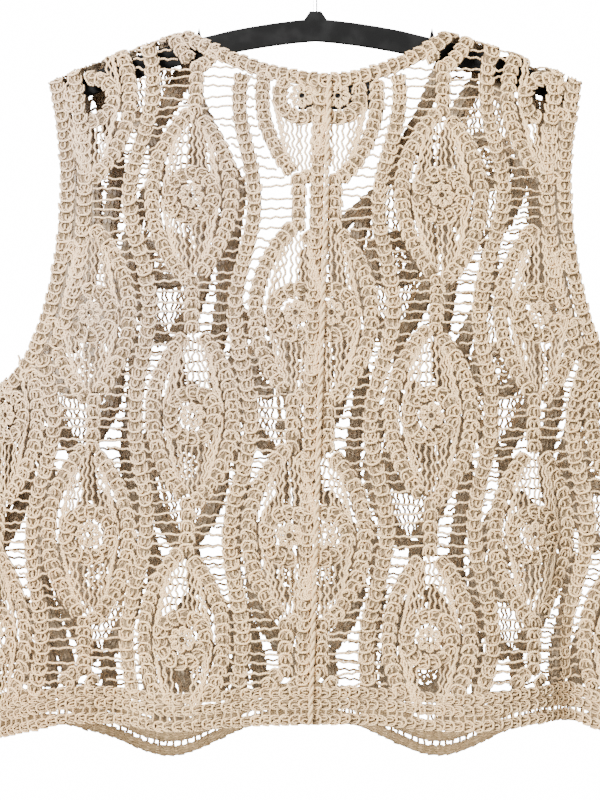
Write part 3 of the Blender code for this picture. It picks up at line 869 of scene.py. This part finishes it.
# %% A small class for node formulas
def add_node(tree, kind, settings=(), sockets=()):
    """Adds one node: its settings first, then a value or a link for each socket."""
    node = tree.nodes.new(kind)
    for name, value in dict(settings).items():
        setattr(node, name, value)
    for socket, value in dict(sockets).items():
        if isinstance(value, Value):
            tree.links.new(value.socket, node.inputs[socket])
        else:
            node.inputs[socket].default_value = value
    return node


class Value:
    """A socket that can be used in formulas."""

    def __init__(self, tree, socket):
        self.tree, self.socket = tree, socket

    def math(self, operation, *values):
        node = add_node(self.tree, "ShaderNodeMath", {"operation": operation}, enumerate(values))
        return Value(self.tree, node.outputs[0])

    def __add__(self, other):
        return self.math("ADD", self, other)

    __radd__ = __add__

    def __sub__(self, other):
        return self.math("SUBTRACT", self, other)

    def __rsub__(self, other):
        return self.math("SUBTRACT", other, self)

    def __mul__(self, other):
        return self.math("MULTIPLY", self, other)

    __rmul__ = __mul__

    def sine(self):
        return self.math("SINE", self)

    def between(self, low, high):
        """0 at low and 1 at high, with a soft start and end."""
        node = add_node(self.tree, "ShaderNodeMapRange", {"interpolation_type": "SMOOTHSTEP"},
                        {"Value": self, "From Min": low, "From Max": high})
        return Value(self.tree, node.outputs["Result"])


class Finish:
    """A material with a Principled BSDF, and short calls for the nodes in front of it."""

    def __init__(self, name, roughness, metallic=0.0, specular=0.5):
        self.material = bpy.data.materials.new(name)
        self.material.use_nodes = True
        self.tree = self.material.node_tree
        self.shader = self.tree.nodes["Principled BSDF"]
        self.shader.inputs["Roughness"].default_value = roughness
        self.shader.inputs["Metallic"].default_value = metallic
        self.shader.inputs["Specular IOR Level"].default_value = specular

    def node(self, kind, output, settings=(), sockets=()):
        """One output of a new node."""
        return Value(self.tree, add_node(self.tree, kind, settings, sockets).outputs[output])

    def coordinates(self, kind):
        return self.node("ShaderNodeTexCoord", kind)

    def attribute(self, name):
        return self.node("ShaderNodeAttribute", "Fac", {"attribute_name": name})

    def axes(self, vector):
        node = add_node(self.tree, "ShaderNodeSeparateXYZ", sockets={0: vector})
        return [Value(self.tree, output) for output in node.outputs]

    def noise(self, vector, scale, detail=2.0):
        sockets = {"Vector": vector, "Scale": scale, "Detail": detail}
        return self.node("ShaderNodeTexNoise", "Fac", sockets=sockets)

    def mix(self, factor, first, second):
        """A colour between two others, each of them a value or three numbers."""
        first, second = (c if isinstance(c, Value) else (*c, 1.0) for c in (first, second))
        return self.node("ShaderNodeMix", 2, {"data_type": "RGBA"}, {"Factor": factor, 6: first, 7: second})

    def feed(self, socket, value):
        """Links a value that changes over the surface to a socket of the shader."""
        self.tree.links.new(value.socket, self.shader.inputs[socket])

    def bump(self, height, distance, strength=1.0):
        sockets = {"Height": height, "Distance": distance, "Strength": strength}
        self.feed("Normal", self.node("ShaderNodeBump", "Normal", sockets=sockets))


# %% [markdown]
# ## The finishes of this top
# The yarn is a warm ecru cotton with a fine twist and fuzz in its bump. Its colour is painted greyer
# towards the upper left as painted shade, and warmer towards the lower left as painted light. A strand gets
# painted shade where it lies deep in a stitch, set by a float attribute for how far it stands out, and a
# ribbon gets painted shade in the gaps between its rows of stitches. The ribbons' outer faces under the
# stitches, and the faces toward the body except on the hem band, are painted darker as painted shade. The
# hanger is flocked black plastic with a steel hook, and the label is a plain dark weave.

# %% The materials
YARN_LIGHT = (0.95, 0.68, 0.37)
YARN_MIDDLE = (0.90, 0.61, 0.31)
# Painted shade colour for the upper left, and painted light colour for the lower left.
YARN_GREY_SHADE = (0.74, 0.56, 0.40)
YARN_WARM_LIT = (0.84, 0.54, 0.28)
YARN_DEEP = (0.46, 0.30, 0.17)
# Colour of the painted shade where a strand lies deep in a stitch.
YARN_SHADE = (0.20, 0.125, 0.068)


def scaled(colour, by):
    return tuple(part * by for part in colour)


def yarn_finish(name, shade=1.0, twist=True, gap_shade=0.5, shade_tint=(1.0, 1.0, 1.0)):
    """Cotton yarn. A strand has a twist, and painted shade where it lies deep in a stitch. A ribbon has
    none and shows rows of stitches with painted shade in their gaps.
    """
    finish = Finish(name, 0.9, specular=0.25)
    place = finish.coordinates("Object")
    x, _, z = finish.axes(place)
    along, around, _ = finish.axes(finish.coordinates("UV"))
    drift, mottled, fuzz = (finish.noise(place, scale) for scale in (9.0, 160.0, 1500.0))
    light, middle, grey_shade, warm_lit = [tuple(c * shade * t for c, t in zip(colour, shade_tint))
                                 for colour in (YARN_LIGHT, YARN_MIDDLE, YARN_GREY_SHADE, YARN_WARM_LIT)]
    colour = finish.mix(mottled.between(0.3, 0.7), middle, light)
    # Painted shade: greyer towards the upper left.
    grey_shade_up_left = (0.12 - x).between(0.0, 0.25) * (0.55 + z).between(0.0, 0.25)
    colour = finish.mix(grey_shade_up_left * (0.5 + 0.5 * drift.between(0.35, 0.65)) * 0.8, colour, grey_shade)
    # Painted light: warmer towards the lower left.
    warm_lit_low_left = (-0.13 - x).between(0.0, 0.08) * (-0.40 - z).between(0.0, 0.12)
    colour = finish.mix(warm_lit_low_left * 0.45, colour, warm_lit)
    colour = finish.mix(fuzz.between(0.55, 0.8) * 0.25, colour, scaled(YARN_DEEP, shade))
    if twist:
        # Painted shade: a strand is darker where it lies deep in a stitch.
        painted_shade = finish.mix(drift, scaled(YARN_SHADE, shade), scaled(YARN_SHADE, shade * 1.15))
        colour = finish.mix(finish.attribute("painted_light").between(0.05, 0.9), painted_shade, colour)
        finish.bump((along * 9.0 + around * (2 * math.pi)).sine() * 0.5 + fuzz * 0.9, 0.0006, 0.8)
    else:
        wander = finish.noise(place, 260.0, 1.0) * 5.0
        rows = (along * (2 * math.pi) + wander).sine()
        posts = (around * (7 * math.pi) + wander * 1.3).sine()
        stitched = (rows * 0.55 + posts * 0.45).between(-0.5, 0.7)
        # Painted shade in the gaps between the rows of stitches.
        colour = finish.mix(stitched, scaled(middle, gap_shade), colour)
        finish.bump(stitched, 0.0020, 0.9)
    finish.feed("Base Color", colour)
    finish.feed("Roughness", 0.85 + 0.12 * mottled)
    return finish.material


def flock_finish():
    finish = Finish("hanger_flock", 0.95, specular=0.2)
    place = finish.coordinates("Object")
    nap = finish.noise(place, 2500.0, 2.0)
    worn = finish.noise(place, 60.0)
    colour = finish.mix(worn.between(0.4, 0.7), (0.003, 0.003, 0.003), (0.008, 0.008, 0.008))
    finish.feed("Base Color", colour)
    finish.bump(nap, 0.0004, 0.7)
    return finish.material


def steel_finish():
    finish = Finish("hook_steel", 0.28, metallic=1.0)
    place = finish.coordinates("Object")
    scratches = finish.noise(place, 700.0, 3.0)
    colour = finish.mix(scratches.between(0.35, 0.75), (0.66, 0.66, 0.68), (0.52, 0.52, 0.54))
    finish.feed("Base Color", colour)
    finish.feed("Roughness", 0.20 + 0.22 * scratches)
    finish.bump(scratches, 0.00008, 0.5)
    return finish.material


def label_finish():
    finish = Finish("label_weave", 0.75, specular=0.3)
    place = finish.coordinates("Object")
    x, _, z = finish.axes(place)
    weave = (x * 6500.0).sine() * (z * 6500.0).sine()
    colour = finish.mix(finish.noise(place, 300.0), (0.018, 0.017, 0.018), (0.035, 0.034, 0.035))
    finish.feed("Base Color", colour)
    finish.bump(weave, 0.0002, 0.6)
    return finish.material


yarn = yarn_finish("cotton_yarn")
# Painted shade: the ribbons' outer faces, under the stitches, are painted dark.
yarn_under_painted_shade = yarn_finish("cotton_yarn_under_painted_shade", 0.32, twist=False, gap_shade=0.45)
# Painted shade: the faces toward the body are painted darker and greyer.
yarn_inside_shaded = yarn_finish("cotton_yarn_inside_shaded", 0.46, twist=False, gap_shade=0.5, shade_tint=(0.92, 1.0, 1.22))
# The faces toward the body on the hem band, with no painted shade but that in their gaps.
yarn_inside_lit = yarn_finish("cotton_yarn_inside_lit", 1.0, twist=False, gap_shade=0.6)
flock, steel, woven = flock_finish(), steel_finish(), label_finish()
for made in (yarn, yarn_under_painted_shade, yarn_inside_shaded, yarn_inside_lit, flock, steel, woven):
    print(made.name, "has", len(made.node_tree.nodes), "nodes")

# %% [markdown]
# ## The four panels of lace
# Each half of the front and back is a panel of its own. It is laid out flat and draped. Its ribbon is the
# part that lies flat and can be measured, and its stitches and threads go with it. All three are attached
# to the root body, and the engineering model's piece for that half is hidden.

# %% Make the panels
def declare(node, base, others):
    """Attaches the pieces that stand for one CAD node, a sheet of cloth and what is worked on it, to the
    root body, and hides the node.
    """
    for piece in [base] + others:
        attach(piece, "root")
    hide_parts(node)


for name, sheet, sign in HALVES:
    lace = half_lace(sheet, sign, OUTLINES[name])
    base = ribbons(name + "_tape", [lace], yarn_inside_shaded)
    stitches = draped(name + "_stitches", [(sheet, lace.rows)], yarn)
    threads = draped(name + "_threads", [(sheet, lace.threads)], yarn, least=0.3)
    declare(name, base, [stitches, threads])

# %% [markdown]
# ## The edgings
# The neck and the armholes are bound with one tape along the edge, and the hem with three narrow rounds
# and a row of short threads between the lowest two. They are made as the panels are, from the edge's own
# curve, so that they meet the lace all the way.


# %% Make the edgings
TS = np.linspace(0, 1, 80)


def edge_path(point, sheet, sign, by):
    """The line that runs this far inside an edge."""
    return Path(np.array([point(sheet, t, sign, by) for t in TS]))


def band(name, laces, inside=yarn_inside_shaded, inner=0.45):
    """One edging, all round, from the laces of both sheets."""
    base = ribbons(name + "_tape", laces, inside)
    others = [draped(name + "_stitches", [(lace.sheet, lace.rows) for lace in laces], yarn, inner=inner)]
    if any(lace.threads for lace in laces):
        threads = [(lace.sheet, lace.threads) for lace in laces]
        others.append(draped(name + "_threads", threads, yarn, least=0.3))
    declare(name, base, others)


def bound_edge(name, point, signs):
    """A band of one tape along an edge, on the sides that have these signs."""
    laces, length = [], 0.0
    for sheet in (BACK, FRONT):
        lace = Lace(sheet)
        for sign in signs:
            path = edge_path(point, sheet, sign, BAND * 0.5)
            lace.tape(path)
            length += path.length
        laces.append(lace)
    band(name, laces)


bound_edge("neck_band", neck_point, (-1, 1))
bound_edge("armhole_band_left", armhole_point, (-1,))
bound_edge("armhole_band_right", armhole_point, (1,))

HEM_ROW = 9.0 * MM
HEM_ROWS = (4.7 * MM, 16.4 * MM, 25.4 * MM)
HEM_SLIT, HEM_THREADS_APART = 10.5 * MM, 6 * MM
hem_laces, hem_length = [], 0.0
for sheet in (BACK, FRONT):
    lace = Lace(sheet)
    for sign in (-1, 1):
        for up in HEM_ROWS:
            path = edge_path(hem_point, sheet, sign, up)
            lace.tape(path, width=HEM_ROW, row=7.4 * MM)
        hem_length += path.length
        slit = edge_path(hem_point, sheet, sign, HEM_SLIT)
        for s in np.arange(0, slit.length, HEM_THREADS_APART):
            x, z, _, _ = slit.at(s)
            sway = rng.uniform(-1, 1) * MM
            lace.thread(wavy((x, z - 3 * MM), (x + sway, z + 3 * MM), 0.5, 0.6 * MM))
    hem_laces.append(lace)
band("hem_band", hem_laces, yarn_inside_lit, 1.0)

# %% [markdown]
# ## The middle seams
# A raised chain of two twisted strands joins the halves down the middle of the back and the front. A
# curve with a bevel would give it too. The same bent tubes as in the stitches are used, so it takes the
# same finish.


# %% Make the seams
CHAIN_STITCH, STRAND_OFFSET, STRAND_RISE = 6.2 * MM, 1.15 * MM, 0.9 * MM


def seam_cord(name, sheet):
    """Two strands that turn round each other down the middle seam."""
    top = neck_edge(sheet, 0.0, 1)[1] - BAND * 0.3
    bottom = float(hem_edge(sheet, 0.0, 1)[1]) + 1.5 * MM
    length = top - bottom
    count = int(length / CHAIN_STITCH)
    t = np.arange(count)[:, None] + np.linspace(0, 1.04, 7)
    level = top - t * length / count
    parts = Lace(sheet)
    for start in (0.0, math.pi):
        turn = t * math.pi * 0.9 + start
        girth = lean(sheet, level) + STRAND_OFFSET * np.cos(turn)
        height = WALL + 1.2 * MM + STRAND_RISE * np.sin(turn)
        parts.add(parts.rows, CORD, bent(CORD, np.stack([girth, level, height], axis=-1), 1.2 * MM))
    cord = draped(name + "_chain", [(sheet, parts.rows)], yarn)
    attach(cord, "root")
    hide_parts(name)
    print(name, "length", round(length, 4), "in", count, "stitches")


seam_cord("back_seam", BACK)
seam_cord("front_seam", FRONT)

# %% [markdown]
# ## The label and the hanger
# These are plain and hard, so they keep the engineering model's own shapes and only get their finishes.

# %% Finish the carried-over pieces
for node, finish in (("neck_label", woven), ("hanger_arms", flock), ("hanger_hook", steel)):
    mesh = frame["nodes"][node].data
    mesh.materials.clear()
    mesh.materials.append(finish)

# %% [markdown]
# ## Camera, light and floor
# The camera looks level at the back from a little over a metre. The light is bright and soft from the
# front left, with a lamp behind that lights the far side. The world is white to the camera but gives
# little light, because an even light from everywhere would wash out the stitches.

# %% Set up the studio
DISTANCE, FRAMED_HEIGHT, SENSOR = 1.1, 0.64, 36
camera = bpy.data.objects.new("camera", bpy.data.cameras.new("camera"))
bpy.context.collection.objects.link(camera)
camera.location = (-0.0124, -DISTANCE, -0.379)
camera.rotation_euler = (math.pi / 2, 0, 0)
camera.data.sensor_width = SENSOR
camera.data.lens = SENSOR * DISTANCE / FRAMED_HEIGHT
camera.data.clip_start = 0.01
bpy.context.scene.camera = camera


def area_light(name, place, aim, size, power):
    """A square lamp at a place, turned toward its aim."""
    data = bpy.data.lights.new(name, "AREA")
    data.size = size
    data.energy = power
    lamp = bpy.data.objects.new(name, data)
    lamp.location = place
    lamp.rotation_euler = (Vector(aim) - Vector(place)).to_track_quat("-Z", "Y").to_euler()
    bpy.context.collection.objects.link(lamp)
    print(name, "lamp", power, "W")


area_light("key", (-1.3, -1.5, 0.6), (0, 0, -0.38), 0.7, 215)
area_light("fill", (1.2, -1.6, -0.2), (0, 0, -0.4), 1.2, 42)
area_light("behind", (0.9, 1.7, 0.5), (0, 0, -0.4), 1.2, 190)

world = bpy.data.worlds.new("studio")
world.use_nodes = True
bpy.context.scene.world = world
sky = world.node_tree.nodes["Background"]
sky.inputs["Color"].default_value = (1.0, 1.0, 1.0, 1.0)
SEEN, LIT = 16.0, 0.12
ray = add_node(world.node_tree, "ShaderNodeLightPath")
strength = Value(world.node_tree, ray.outputs["Is Camera Ray"]) * (SEEN - LIT) + LIT
world.node_tree.links.new(strength.socket, sky.inputs["Strength"])

bm = bmesh.new()
bmesh.ops.create_grid(bm, x_segments=1, y_segments=1, size=0.8)
bmesh.ops.translate(bm, verts=bm.verts, vec=(0, 0, -1.6))
floor_mesh = bpy.data.meshes.new("floor")
bm.to_mesh(floor_mesh)
bm.free()
floor = bpy.data.objects.new("floor", floor_mesh)
bpy.context.collection.objects.link(floor)
pale = Finish("floor_pale", 0.9)
cloudy = pale.noise(pale.coordinates("Object"), 4.0)
pale.feed("Base Color", pale.mix(cloudy, (0.80, 0.79, 0.78), (0.86, 0.85, 0.84)))
floor_mesh.materials.append(pale.material)
